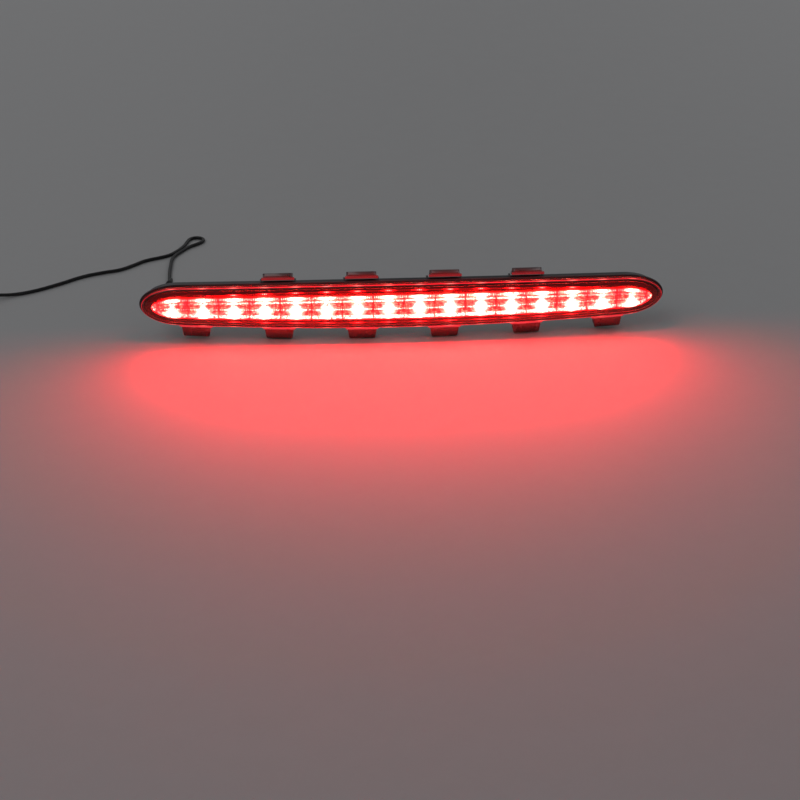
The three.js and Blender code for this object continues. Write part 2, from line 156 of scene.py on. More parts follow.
def grained_material(name, dark, light, roughness, grain=2500, bump=0.12, dust=0.25, cloud=60, **plain):
    """Plastic, rubber, lacquer or metal: cloudy colour and roughness, a bumpy grain, a little dust."""
    material = bpy.data.materials.new(name)
    material.use_nodes = True
    tree = material.node_tree
    shader = tree.nodes["Principled BSDF"]
    effect = tree.nodes.new("ShaderNodeGroup")
    effect.node_tree = moulded_grain
    effect.inputs["Grain Scale"].default_value = grain
    effect.inputs["Cloud Scale"].default_value = cloud
    colour = colour_by(tree, effect.outputs["Cloud"], [(0.35, dark), (0.68, light)])
    dusty = tree.nodes.new("ShaderNodeMix")
    dusty.data_type = "RGBA"
    dusty.inputs["B"].default_value = (0.32, 0.3, 0.28, 1)
    tree.links.new(calculate(tree, "MULTIPLY", effect.outputs["Specks"], dust), dusty.inputs["Factor"])
    tree.links.new(colour, dusty.inputs["A"])
    tree.links.new(dusty.outputs["Result"], shader.inputs["Base Color"])
    rough = tree.nodes.new("ShaderNodeMapRange")
    rough.inputs["To Min"].default_value = max(0.0, roughness - 0.1)
    rough.inputs["To Max"].default_value = min(1.0, roughness + 0.12)
    tree.links.new(effect.outputs["Cloud"], rough.inputs["Value"])
    tree.links.new(rough.outputs["Result"], shader.inputs["Roughness"])
    relief = tree.nodes.new("ShaderNodeBump")
    relief.inputs["Strength"].default_value = bump
    relief.inputs["Distance"].default_value = 0.2 * mm
    tree.links.new(effect.outputs["Height"], relief.inputs["Height"])
    tree.links.new(relief.outputs["Normal"], shader.inputs["Normal"])
    for socket, value in plain.items():
        shader.inputs[socket.replace("_", " ")].default_value = value
    return material


def fit(piece, body, slot, *nodes):
    """Fits a finished piece to its body and hides the CAD nodes it stands for. Its slot is not used."""
    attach(piece, body)
    if nodes:
        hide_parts(*nodes)


lead_sheath = grained_material(
    "lead_sheath", (0.010, 0.010, 0.011), (0.022, 0.021, 0.022), 0.42, 1800, 0.1)
lead_curve = bpy.data.curves.new("lead_cable", "CURVE")
lead_curve.dimensions = "3D"
lead_curve.bevel_depth = lead_diameter / 2 - 0.01 * mm
lead_curve.bevel_resolution = 4
lead_curve.resolution_u = 4
lead_curve.use_fill_caps = True
lead_line = lead_curve.splines.new("BEZIER")
lead_line.bezier_points.add(len(lead_route) - 1)
for knot, place in zip(lead_line.bezier_points, lead_route):
    knot.co = Vector(place) * mm
    knot.handle_left_type = knot.handle_right_type = "AUTO"
lead_curve.materials.append(lead_sheath)
lead = bpy.data.objects.new("lead_cable", lead_curve)
bpy.context.collection.objects.link(lead)
fit(lead, "lamp", "lead_sheath", "lead")


# --- Outer lens -------------------------------------------------------------------------------------
# One clear red moulding, a shallow pillowed dish with rounded ends, welded by its edge to the housing's
# flange. Every long piece of the lamp follows this outline at its own inset.
half_length = lens_high[0]
half_height = (lens_high[2] - lens_low[2]) / 2
end_taper = 3.0 * mm
end_cap = 24 * mm
end_start = half_length - end_cap
bow_radius = 1.625
straight_share = 0.8
tip_run = 12 * mm
weld = 0.002 * mm


def bow(x):
    """How far back the bowed lamp lies at x."""
    return x * x / (2 * bow_radius)


def outline_place(turn, inset, depth, squeeze):
    """A point of the outline. turn runs once round it, inset goes inwards, and squeeze 1 is its middle
    line."""
    side = 1 if turn < 0.5 else -1
    u = 1 - 4 * turn if turn < 0.5 else 4 * turn - 3
    angle = max(0, (abs(u) - straight_share) / (1 - straight_share)) * math.pi / 2
    along = end_start * min(1, abs(u) / straight_share)
    along += (end_cap - inset - tip_run * squeeze) * math.sin(angle)
    x = math.copysign(along, u)
    height = (half_height - inset - end_taper * (x / half_length) ** 2) * math.cos(angle)
    z = side * (1 - squeeze) * height
    return Vector((x, flange_front_y + depth + bow(x), lens_middle_z + z))


def outline_form(segments, rings, closed=False):
    """A closed shell whose rings all follow the outline. A ring is (inset, depth, squeeze, material),
    in mm."""
    bm = bmesh.new()
    bmesh.ops.create_circle(bm, segments=segments, radius=1)
    turn = bm.verts.layers.float.new("turn")
    for vertex in bm.verts:
        vertex[turn] = math.atan2(-vertex.co.x, -vertex.co.y) / (2 * math.pi) % 1
    newest = bm.edges[:]
    first = newest
    for vertex in bm.verts:
        vertex.co = outline_place(vertex[turn], rings[0][0] * mm, rings[0][1] * mm, rings[0][2])
    for inset, depth, squeeze, material in rings[1:]:
        made = bmesh.ops.extrude_edge_only(bm, edges=newest)["geom"]
        moved = [item for item in made if isinstance(item, bmesh.types.BMVert)]
        newest = [item for item in made if isinstance(item, bmesh.types.BMEdge)
                  and all(end in set(moved) for end in item.verts)]
        for vertex in moved:
            vertex.co = outline_place(vertex[turn], inset * mm, depth * mm, squeeze)
        for face in (item for item in made if isinstance(item, bmesh.types.BMFace)):
            face.material_index = material
    if closed:
        bmesh.ops.bridge_loops(bm, edges=first + newest)
    bmesh.ops.remove_doubles(bm, verts=bm.verts, dist=weld)
    bmesh.ops.dissolve_degenerate(bm, edges=bm.edges, dist=0.001 * mm)
    bmesh.ops.recalc_face_normals(bm, faces=bm.faces)
    bm.verts.layers.float.remove(turn)
    return bm


def finish_piece(bm, name, materials, crease=35):
    """Turns a bmesh into a linked object, smooth but for its sharper edges."""
    mesh = bpy.data.meshes.new(name)
    bm.to_mesh(mesh)
    bm.free()
    for material in materials:
        mesh.materials.append(material)
    mesh.shade_smooth()
    mesh.set_sharp_from_angle(angle=math.radians(crease))
    piece = bpy.data.objects.new(name, mesh)
    bpy.context.collection.objects.link(piece)
    return piece


diode_pitch = 20.1
diode_count = 16
plastic_ior = 1.49


def lamp_places(tree):
    """For materials, in mm: place along the lamp, height above the lens's middle, distance along to the
    nearest diode, and how far towards the tips, squared."""
    place = tree.nodes.new("ShaderNodeTexCoord")
    split = tree.nodes.new("ShaderNodeSeparateXYZ")
    tree.links.new(place.outputs["Object"], split.inputs[0])
    x = calculate(tree, "MULTIPLY", split.outputs["X"], 1000)
    above_middle = calculate(tree, "SUBTRACT", split.outputs["Z"], lens_middle_z)
    z = calculate(tree, "MULTIPLY", above_middle, 1000)
    cell = calculate(tree, "ADD", calculate(tree, "DIVIDE", x, diode_pitch), diode_count / 2)
    offset = calculate(tree, "SUBTRACT", calculate(tree, "FRACT", cell), 0.5)
    near = calculate(tree, "MULTIPLY", calculate(tree, "ABSOLUTE", offset), diode_pitch)
    outwards = calculate(tree, "POWER", calculate(
        tree, "ABSOLUTE", calculate(tree, "DIVIDE", split.outputs["X"], half_length)), 2)
    return x, z, near, outwards


def band(tree, value, middle, half_width, height=1.0, sharpness=4):
    """A band of that height where value is near middle. A higher sharpness gives it a flatter top."""
    away = calculate(tree, "ABSOLUTE", calculate(tree, "DIVIDE", calculate(
        tree, "SUBTRACT", value, middle), half_width))
    fall = calculate(tree, "EXPONENT", calculate(
        tree, "MULTIPLY", calculate(tree, "POWER", away, sharpness), -1))
    return calculate(tree, "MULTIPLY", fall, height)


def total(tree, first, *others):
    """The sum of nodes' outputs and numbers."""
    for other in others:
        first = calculate(tree, "ADD", first, other)
    return first


def product(tree, first, *others):
    """The product of nodes' outputs and numbers."""
    for other in others:
        first = calculate(tree, "MULTIPLY", first, other)
    return first


def make_red_lens():
    """Clear red plastic, polished, with slight moulding waves and small marks."""
    material = bpy.data.materials.new("red_lens")
    material.use_nodes = True
    tree = material.node_tree
    shader = tree.nodes["Principled BSDF"]
    effect = tree.nodes.new("ShaderNodeGroup")
    effect.node_tree = moulded_grain
    effect.inputs["Grain Scale"].default_value = 90
    effect.inputs["Cloud Scale"].default_value = 25
    colour = colour_by(tree, effect.outputs["Cloud"], [
        (0.3, (0.93, 0.33, 0.30)), (0.7, (0.96, 0.40, 0.36))])
    tree.links.new(colour, shader.inputs["Base Color"])
    shader.inputs["Transmission Weight"].default_value = 1
    shader.inputs["IOR"].default_value = plastic_ior
    polish = calculate(tree, "MULTIPLY", effect.outputs["Specks"], 0.25)
    tree.links.new(polish, shader.inputs["Roughness"])
    relief = tree.nodes.new("ShaderNodeBump")
    relief.inputs["Strength"].default_value = 0.02
    relief.inputs["Distance"].default_value = 0.2 * mm
    tree.links.new(effect.outputs["Height"], relief.inputs["Height"])
    tree.links.new(relief.outputs["Normal"], shader.inputs["Normal"])
    return material


def make_lit_edge():
    """The lens's rounded edge, which carries light along itself and glows, more beside each diode."""
    material = bpy.data.materials.new("lit_lens_edge")
    material.use_nodes = True
    tree = material.node_tree
    shader = tree.nodes["Principled BSDF"]
    _, _, near, outwards = lamp_places(tree)
    fade = calculate(tree, "SUBTRACT", 1.0, calculate(tree, "POWER", outwards, 4))
    glow = product(tree, total(tree, band(tree, near, 0, 2.6, 0.6, 2), 0.4), total(
        tree, calculate(tree, "MULTIPLY", fade, 0.75), 0.25))
    colour = colour_by(tree, glow, [
        (0.1, (0.20, 0.003, 0.005)), (0.4, (0.50, 0.018, 0.028)), (1, (1, 0.20, 0.18))])
    tree.links.new(colour, shader.inputs["Emission Color"])
    tree.links.new(colour, shader.inputs["Base Color"])
    shader.inputs["Emission Strength"].default_value = 1.1
    shader.inputs["Roughness"].default_value = 0.12
    return material


def pillow_rings(inset, depth, crown, steps, material, outwards=True):
    """Rings from the middle line to the edge of a crowned face, or back from the edge to the middle."""
    squeezes = [((steps - i) / steps) ** 1.35 for i in range(steps + 1)]
    depths = [depth - crown * (1 - (1 - squeeze) ** 2.4) for squeeze in squeezes]
    rings = [(inset, place, squeeze, material) for place, squeeze in zip(depths, squeezes)]
    return rings if outwards else rings[::-1]


lens_crown = 2.2
rim_depth = -3.0
edge_radius = 0.8
lens_wall = 1.8
lens_rings = pillow_rings(edge_radius, rim_depth, lens_crown, 14, 0)
for i in range(1, 7):
    turn = math.radians(15 * i)
    inset = edge_radius * (1 - math.sin(turn))
    depth = rim_depth + edge_radius * (1 - math.cos(turn))
    glows = int(0.4 < turn < 1.2)
    lens_rings.append((inset, depth, 0, glows))
lens_rings += [
    (0, -0.5, 0, 0), (0.2, -0.3, 0, 0), (lens_wall - 0.2, -0.3, 0, 0), (lens_wall, -0.5, 0, 0)]
lens_rings += pillow_rings(lens_wall, rim_depth + lens_wall, lens_crown, 14, 0, outwards=False)
lens_shell = outline_form(480, lens_rings)
outer_lens = finish_piece(lens_shell, "lens_moulding", [make_red_lens(), make_lit_edge()], 50)
fit(outer_lens, "lamp", "lens_red", "outer_lens")


# --- Inner lens -------------------------------------------------------------------------------------
# A thin clear strip behind the red lens, moulded with lengthwise flutes and tiny pillows, that spreads
# each diode's light along the lamp. A groove crosses it between every two cells.
def make_lit_flutes():
    """Fluted plastic lit from behind: white-hot at each diode, bright streaks along it, red between."""
    material = bpy.data.materials.new("lit_fluted_lens")
    material.use_nodes = True
    tree = material.node_tree
    shader = tree.nodes["Principled BSDF"]
    x, z, near, outwards = lamp_places(tree)
    length = calculate(tree, "ABSOLUTE", x)

    # The lit window, in mm: a little less high towards the tips, and rounded off at them.
    window_middle = -0.7
    window_end = 164.0
    round_from = 146
    round_length = 18
    into_tip = calculate(
        tree, "DIVIDE", calculate(tree, "SUBTRACT", length, round_from), round_length, clamp=True)
    rounding = calculate(tree, "SQRT", calculate(
        tree, "SUBTRACT", 1.0, product(tree, into_tip, into_tip)))
    up_to = product(tree, calculate(
        tree, "SUBTRACT", 8.2, calculate(tree, "MULTIPLY", outwards, 2.6)), rounding)
    down_to = product(tree, calculate(
        tree, "SUBTRACT", 8.5, calculate(tree, "MULTIPLY", outwards, 1.4)), rounding)
    height = calculate(tree, "SUBTRACT", z, window_middle)
    above = calculate(tree, "DIVIDE", height, calculate(tree, "ADD", up_to, 0.01))
    below = calculate(tree, "DIVIDE", height, calculate(tree, "ADD", down_to, 0.01))
    window = product(
        tree, calculate(tree, "LESS_THAN", above, 1.0), calculate(tree, "GREATER_THAN", below, -1.0))
    window = product(tree, window, calculate(tree, "LESS_THAN", length, window_end))

    # Tiny pillows break the light up into dots, and a fine noise frays the edges of the bright parts.
    pillow_turn = 5.2
    speckle = tree.nodes.new("ShaderNodeTexNoise")
    speckle.inputs["Scale"].default_value = 1000
    speckle.inputs["Detail"].default_value = 1
    tree.links.new(tree.nodes["Texture Coordinate"].outputs["Object"], speckle.inputs["Vector"])
    rough_light = total(tree, calculate(tree, "MULTIPLY", speckle.outputs["Fac"], 3.6), -0.95)
    pillows = calculate(tree, "SINE", calculate(tree, "MULTIPLY", x, pillow_turn))
    dots = total(tree, calculate(tree, "MULTIPLY", pillows, 0.45), 0.55)
    ragged = calculate(tree, "MULTIPLY", calculate(tree, "SUBTRACT", speckle.outputs["Fac"], 0.5), 6)
    ragged_near = calculate(tree, "ADD", near, ragged)

    # At each diode: a hot ball with a flare beside it, a crest at the window's top, and a column.
    from_top = calculate(tree, "SUBTRACT", up_to, height)
    from_bottom = calculate(tree, "ADD", down_to, height)
    hot_height = calculate(tree, "ADD", z, calculate(tree, "MULTIPLY", outwards, 5.0))
    ball = product(tree, band(tree, ragged_near, 0, 3.9), band(tree, hot_height, -1.5, 3.3))
    flare = product(tree, band(tree, near, 0, 6.6, 0.4, 2), band(tree, hot_height, -1.6, 0.8))
    crest = product(tree, band(tree, ragged_near, 0, 4.6), band(tree, from_top, 1.3, 1.1, 1.1))
    column = product(tree, band(tree, ragged_near, 0, 2.2), band(tree, hot_height, -0.5, 7.6, 0.55))
    bloom = product(tree, band(tree, near, 0, 5.2, 0.2, 2), band(tree, hot_height, -1.5, 5.4, 1, 2))

    # Rows of light along the flutes, weaker between the diodes and towards the tips.
    tips = calculate(tree, "MULTIPLY", outwards, 0.7)
    spread = total(tree, band(tree, near, 0, 5.2, 0.45, 2), calculate(tree, "SUBTRACT", 0.55, calculate(
        tree, "MULTIPLY", tips, 0.55)))
    second_row = calculate(tree, "SUBTRACT", 1.0, tips)
    streaks = product(tree, spread, total(
        tree,
        product(tree, band(tree, from_top, 1.15, 0.75, 1.05), dots),
        product(tree, band(tree, from_top, 3.7, 0.62, 1.05), second_row),
        band(tree, from_bottom, 1.9, 1.3, 1.05),
        product(tree, band(tree, z, -1.7, 0.5, 1.1), dots),
    ))

    # Red between them, with a darker upright at the wall between every two cells.
    wall = calculate(tree, "SUBTRACT", 1.0, band(tree, near, diode_pitch / 2, 0.35, 0.7))
    ground = total(tree, product(tree, pillows, calculate(
        tree, "SINE", calculate(tree, "MULTIPLY", z, 5.6)), 0.07), 0.2)
    hot = total(tree, ball, crest, column, bloom, flare, streaks)
    lit = product(tree, total(tree, product(tree, hot, rough_light), ground), wall)

    # Spots on two fine lines above and below the window, which end before the tips.
    lines_end = 128.0
    edge_spots = product(tree, total(tree, band(tree, near, 0, 2.8, 0.75, 2), 0.015), calculate(
        tree, "LESS_THAN", length, lines_end))
    upper_edge = calculate(tree, "SUBTRACT", z, calculate(
        tree, "SUBTRACT", 10.6, calculate(tree, "MULTIPLY", outwards, 5.6)))
    lower_edge = calculate(tree, "SUBTRACT", z, calculate(
        tree, "ADD", -11.6, calculate(tree, "MULTIPLY", outwards, 1.6)))
    edges = product(tree, edge_spots, total(
        tree, band(tree, upper_edge, 0, 0.42), band(tree, lower_edge, 0, 0.36, 0.75)), dots)

    level = total(tree, product(tree, lit, window), edges)
    colour = colour_by(tree, level, [
        (0.0, (0.003, 0.0, 0.0)), (0.08, (0.2, 0.0006, 0.0015)), (0.3, (0.42, 0.002, 0.005)),
        (0.5, (0.46, 0.06, 0.065)), (0.7, (0.5, 0.2, 0.15)), (0.95, (0.52, 0.36, 0.32))])
    tree.links.new(colour, shader.inputs["Emission Color"])
    shader.inputs["Emission Strength"].default_value = 22
    # Painted shade: the optic's plastic is dark outside the lit window, standing in for the shade of the
    # dark cavity around it.
    plastic_with_painted_shade = colour_by(tree, window, [(0, (0.05, 0.003, 0.003)), (1, (0.95, 0.5, 0.42))])
    tree.links.new(plastic_with_painted_shade, shader.inputs["Base Color"])
    shader.inputs["Transmission Weight"].default_value = 1
    shader.inputs["Roughness"].default_value = 0.08
    shader.inputs["IOR"].default_value = plastic_ior
    return material


optic_inset = 3.2
flute_pitch = 1.25 * mm
flute_height = 0.16 * mm
groove_depth = 0.22 * mm
groove_half_width = 0.5
optic_rings = pillow_rings(optic_inset, -0.9, 1.3, 44, 0)
optic_rings += [(optic_inset, -0.45, 0, 0)]
optic_rings += pillow_rings(optic_inset, -0.4, 1.3, 4, 1, outwards=False)
optic = outline_form(720, optic_rings)
clear_plastic = grained_material(
    "clear_inner_back", (0.82, 0.3, 0.27), (0.88, 0.36, 0.32), 0.1, 300, 0.03, 0.0,
    Transmission_Weight=1, IOR=plastic_ior)
for vertex in optic.verts:
    if all(face.material_index == 0 for face in vertex.link_faces):
        height = vertex.co.z - lens_middle_z
        flute = flute_height * abs(math.cos(math.pi * height / flute_pitch))
        from_groove = (vertex.co.x / (diode_pitch * mm) + 0.5) % 1 - 0.5
        groove = groove_depth * math.exp(-(from_groove * diode_pitch / groove_half_width) ** 2)
        vertex.co.y -= flute - groove
inner_lens = finish_piece(optic, "fluted_inner_lens", [make_lit_flutes(), clear_plastic], 25)
fit(inner_lens, "lamp", "optic_red", "inner_optic")


# --- Reflector --------------------------------------------------------------------------------------
# A moulded tray of sixteen scooped cells, metallised bright in a vacuum, clipped over the board.
chrome = grained_material(
    "vacuum_chrome", (0.80, 0.80, 0.82), (0.90, 0.90, 0.91), 0.12, 700, 0.06, 0.1, 40, Metallic=1.0)


def finish_node(name, material):
    """Gives a CAD node that is shown as it is its finish."""
    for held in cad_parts[name].material_slots:
        held.material = material


finish_node("reflector", chrome)


# --- Diodes -----------------------------------------------------------------------------------------
# Sixteen surface-mounted diodes: a white moulded frame with rounded edges, a clear dome over the lit
# die, and two tinned tabs that are soldered to the board.
frame_height = 1.1 * mm
dome_radius = 1.35 * mm
dome_in_frame = 0.3 * mm
tab_from_middle = 1.75 * mm
tab_half_length = 0.3 * mm
tab_half_width = 0.9 * mm
tab_thick = 0.35 * mm


def bevel_edges(bm, edges, offset, segments=2):
    """Rounds those edges and gives the new faces."""
    made = bmesh.ops.bevel(
        bm, geom=edges, offset=offset, segments=segments, profile=0.5, affect="EDGES", material=-1)
    return made["faces"]


def add_block(bm, low, high, rounding=0.0, segments=2):
    """Adds a rounded block between two corners and gives its vertices."""
    size = [b - a for a, b in zip(low, high)]
    middle = [(a + b) / 2 for a, b in zip(low, high)]
    matrix = Matrix.Translation(middle) @ Matrix.Diagonal((*size, 1))
    verts = bmesh.ops.create_cube(bm, size=1, matrix=matrix)["verts"]
    if rounding:
        edges = list({edge for vertex in verts for edge in vertex.link_edges})
        faces = bevel_edges(bm, edges, rounding, segments)
        verts = list({vertex for face in faces for vertex in face.verts})
    return verts


diodes = bmesh.new()
for i in range(diode_count):
    low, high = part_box(f"led_{i + 1:02d}")
    seat = high[1] - frame_height
    add_block(diodes, (low[0], seat, low[2]), (high[0], high[1], high[2]), 0.25 * mm)
    centre = Vector(((low[0] + high[0]) / 2, seat, (low[2] + high[2]) / 2))
    dome = bmesh.ops.create_uvsphere(
        diodes, u_segments=20, v_segments=14, radius=dome_radius,
        matrix=Matrix.Translation(centre))["verts"]
    joined = {item for vertex in dome for item in (*vertex.link_faces, *vertex.link_edges)}
    dome_parts = list(joined) + dome
    for face in {face for vertex in dome for face in vertex.link_faces}:
        face.material_index = 1
    bmesh.ops.bisect_plane(
        diodes, geom=dome_parts, plane_co=centre + Vector((0, dome_in_frame, 0)), plane_no=(0, 1, 0),
        clear_outer=True)
    for side in (-1, 1):
        x = centre.x + side * tab_from_middle
        tab = add_block(
            diodes, (x - tab_half_length, high[1] - tab_thick, centre.z - tab_half_width),
            (x + tab_half_length, high[1], centre.z + tab_half_width), 0.08 * mm)
        for face in {face for vertex in tab for face in vertex.link_faces}:
            face.material_index = 2


def make_lit_dome():
    """Clear resin dome over a lit die, brightest at its middle."""
    material = bpy.data.materials.new("lit_dome")
    material.use_nodes = True
    tree = material.node_tree
    shader = tree.nodes["Principled BSDF"]
    _, _, near, _ = lamp_places(tree)
    glow = total(tree, band(tree, near, 0, 0.9, 0.8, 2), 0.2)
    colour = colour_by(tree, glow, [(0.2, (1, 0.16, 0.1)), (1, (1, 0.75, 0.55))])
    tree.links.new(colour, shader.inputs["Emission Color"])
    tree.links.new(colour, shader.inputs["Base Color"])
    shader.inputs["Emission Strength"].default_value = 16
    shader.inputs["Roughness"].default_value = 0.1
    return material


tinned = grained_material(
    "tinned_tabs", (0.55, 0.54, 0.52), (0.7, 0.69, 0.66), 0.3, 2000, 0.1, Metallic=1.0)
white_frame = grained_material("diode_frame", (0.70, 0.68, 0.64), (0.80, 0.78, 0.75), 0.4, 3000, 0.06)
lit_diodes = finish_piece(diodes, "lit_diodes", [white_frame, make_lit_dome(), tinned])
fit(lit_diodes, "lamp", "led_glow", *(f"led_{i + 1:02d}" for i in range(diode_count)))


# --- Board and its parts ----------------------------------------------------------------------------
# A green lacquered board with tinned tracks, held on four bosses by plated pan-head screws. On its back
# are four series resistors, a protection diode, and the lead's two cores.
def make_board_green():
    """Green lacquer with paler tracks along the board and a bare pad under each diode."""
    material = grained_material(
        "board_green", (0.012, 0.10, 0.035), (0.02, 0.14, 0.05), 0.32, 2200, 0.08)
    tree = material.node_tree
    shader = tree.nodes["Principled BSDF"]
    _, z, near, _ = lamp_places(tree)
    lacquer = shader.inputs["Base Color"].links[0].from_socket
    track = calculate(tree, "LESS_THAN", calculate(tree, "PINGPONG", total(tree, z, 2.0), 1.7), 0.34)
    pad = product(tree, calculate(tree, "LESS_THAN", near, 3.1), calculate(
        tree, "LESS_THAN", calculate(tree, "ABSOLUTE", total(tree, z, 4.0)), 1.1))
    mask = calculate(tree, "MAXIMUM", calculate(tree, "MULTIPLY", track, 0.45), pad)
    mixed = tree.nodes.new("ShaderNodeMix")
    mixed.data_type = "RGBA"
    mixed.inputs["B"].default_value = (0.42, 0.38, 0.26, 1)
    tree.links.new(mask, mixed.inputs["Factor"])
    tree.links.new(lacquer, mixed.inputs["A"])
    tree.links.new(mixed.outputs["Result"], shader.inputs["Base Color"])
    return material


finish_node("led_board", make_board_green())
plated = grained_material(
    "plated_screw", (0.48, 0.48, 0.47), (0.66, 0.66, 0.64), 0.3, 1500, 0.15, Metallic=1.0)
for i in range(4):
    finish_node(f"board_screw_{i + 1}", plated)
red_core = grained_material("red_core", (0.35, 0.012, 0.012), (0.45, 0.02, 0.018), 0.4)
black_core = grained_material("black_core", (0.012, 0.012, 0.012), (0.022, 0.022, 0.022), 0.4)
finish_node("inner_wire_1", red_core)
finish_node("inner_wire_2", black_core)


wire_radius = 0.3 * mm


def spin_about_x(bm, profile, centre, steps=24):
    """Turns a profile of (distance along X, radius), in mm, about a line through centre."""
    verts = [bm.verts.new(centre + Vector((along * mm, 0, radius * mm))) for along, radius in profile]
    edges = [bm.edges.new(pair) for pair in zip(verts, verts[1:])]
    bmesh.ops.spin(
        bm, geom=verts + edges, cent=centre, axis=(1, 0, 0), angle=2 * math.pi, steps=steps,
        use_merge=True)


def axial_part(name, node_names, profile, materials, stripes, slot):
    """Parts with leads bent down to the board. Stripes are (place, half width, material), in mm."""
    bm = bmesh.new()
    for node_name in node_names:
        low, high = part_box(node_name)
        centre = (low + high) / 2
        spin_about_x(bm, profile, centre)
        reach = profile[-1][0]
        for side in (-1, 1):
            end = centre + Vector((side * (reach + 0.6) * mm, 0, 0))
            inwards = Matrix.Translation(end - Vector((side * 0.5 * mm, 0, 0)))
            forwards = Matrix.Translation(end - Vector((0, 0.9 * mm, 0)))
            across = inwards @ Matrix.Rotation(math.pi / 2, 4, "Y")
            down = forwards @ Matrix.Rotation(math.pi / 2, 4, "X")
            for matrix, length in ((across, 1.2 * mm), (down, 1.9 * mm)):
                made = bmesh.ops.create_cone(
                    bm, cap_ends=True, segments=8, radius1=wire_radius, radius2=wire_radius,
                    depth=length, matrix=matrix)
                for face in {face for vertex in made["verts"] for face in vertex.link_faces}:
                    face.material_index = 1
        for face in bm.faces:
            along = (face.calc_center_median().x - centre.x) / mm
            for place, half_width, material in stripes:
                if face.material_index == 0 and abs(along - place) < half_width:
                    face.material_index = material
    bmesh.ops.remove_doubles(bm, verts=bm.verts, dist=weld)
    bmesh.ops.recalc_face_normals(bm, faces=bm.faces)
    fit(finish_piece(bm, name, materials), "lamp", slot, *node_names)


resistor_profile = [
    (-4, 0.001), (-4, 1.2), (-3.7, 1.5), (-3.2, 1.6), (-2.6, 1.6), (-2.2, 1.4), (-1.8, 1.35), (-1.1, 1.35),
    (-0.6, 1.35), (-0.1, 1.35), (0.5, 1.35), (1.0, 1.35), (1.6, 1.35), (2.2, 1.4), (2.6, 1.6), (3.2, 1.6),
    (3.7, 1.5), (4, 1.2), (4, 0.001),
]
blue_lacquer = grained_material(
    "resistor_blue", (0.06, 0.16, 0.30), (0.10, 0.22, 0.38), 0.35, 1600, 0.08)
brown_stripe = grained_material("brown_stripe", (0.10, 0.035, 0.015), (0.14, 0.05, 0.02), 0.35)
gold_stripe = grained_material("gold_stripe", (0.45, 0.30, 0.10), (0.55, 0.38, 0.14), 0.3)
axial_part(
    "series_resistors", [f"resistor_{i + 1}" for i in range(4)], resistor_profile,
    [blue_lacquer, tinned, brown_stripe, gold_stripe], [(-1.45, 0.4, 2), (-0.35, 0.3, 2), (1.3, 0.4, 3)],
    "resistor_blue")
diode_profile = [
    (-2.6, 0.001), (-2.6, 1.2), (-2.4, 1.4), (-1.8, 1.4), (-1.1, 1.4), (0, 1.4), (1.5, 1.4), (2.4, 1.4),
    (2.6, 1.2), (2.6, 0.001),
]
black_epoxy = grained_material(
    "black_epoxy", (0.015, 0.015, 0.015), (0.03, 0.03, 0.03), 0.35, 1800, 0.1)
silver_stripe = grained_material("silver_stripe", (0.5, 0.5, 0.5), (0.62, 0.62, 0.62), 0.35)
axial_part(
    "protection_diode", ["guard_diode"], diode_profile, [black_epoxy, tinned, silver_stripe],
    [(-1.45, 0.4, 2)], "diode_black")


# --- Housing ----------------------------------------------------------------------------------------
# One black moulding: a flange that the lens is welded to, a deep chamfered body with a beaded, ribbed
# back, cheeks beside the root of each clip, and four bosses inside for the board's screws.
housing_black = grained_material(
    "housing_black", (0.022, 0.022, 0.023), (0.040, 0.040, 0.041), 0.40, 1500, 0.22, 0.6, 45)
clip_pitch = 54.4
clip_half_width = 9.75
housing_rings = [
    (7.4, 17.5, 1, 0), (7.4, 17.5, 0, 0), (7.15, 17.6, 0, 0), (6.9, 18.85, 0, 0), (6.65, 19.0, 0, 0),
    (6.3, 19.0, 0, 0), (6.0, 18.8, 0, 0), (3.8, 16.3, 0, 0), (3.55, 15.9, 0, 0), (3.5, 15.5, 0, 0),
    (3.5, 9.0, 0, 0), (3.5, 2.3, 0, 0), (3.35, 1.8, 0, 0), (3.0, 1.6, 0, 0), (-0.9, 1.6, 0, 0),
    (-1.2, 1.5, 0, 0), (-1.3, 1.25, 0, 0), (-1.3, 0.4, 0, 0), (-1.2, 0.1, 0, 0), (-0.95, 0, 0, 0),
    (5.3, 0, 0, 0), (5.5, 0.2, 0, 0), (5.5, 14.9, 0, 0), (6.2, 15.8, 0, 0), (7.0, 15.9, 0, 0),
    (7.0, 15.9, 1, 0),
]
housing = outline_form(400, housing_rings)


def lay_on_bow(verts):
    """Moves vertices drawn as (x, depth, height above the lens's middle) onto the bowed lamp."""
    for vertex in verts:
        vertex.co = Vector((
            vertex.co.x, flange_front_y + vertex.co.y + bow(vertex.co.x), lens_middle_z + vertex.co.z))


def add_bar(bm, x, depth, height, rounding, pieces=1):
    """Adds a rounded bar that follows the bow. x, depth and height are its (low, high), in mm."""
    steps = [x[0] + (x[1] - x[0]) * i / pieces for i in range(1, pieces)]
    low, high = zip(x, depth, height)
    verts = add_block(bm, [v * mm for v in low], [v * mm for v in high], rounding * mm)
    for step in steps:
        faces = {face for vertex in verts for face in vertex.link_faces}
        edges = {edge for face in faces for edge in face.edges}
        cut = bmesh.ops.bisect_plane(
            bm, geom=[*verts, *edges, *faces], plane_co=(step * mm, 0, 0), plane_no=(1, 0, 0))
        verts += [item for item in cut["geom_cut"] if isinstance(item, bmesh.types.BMVert)]
    lay_on_bow(set(verts))


def rim_height(x):
    """Height of the lens's straight rim above its middle at x, all in mm."""
    return half_height / mm - 3.0 * (x / (half_length / mm)) ** 2


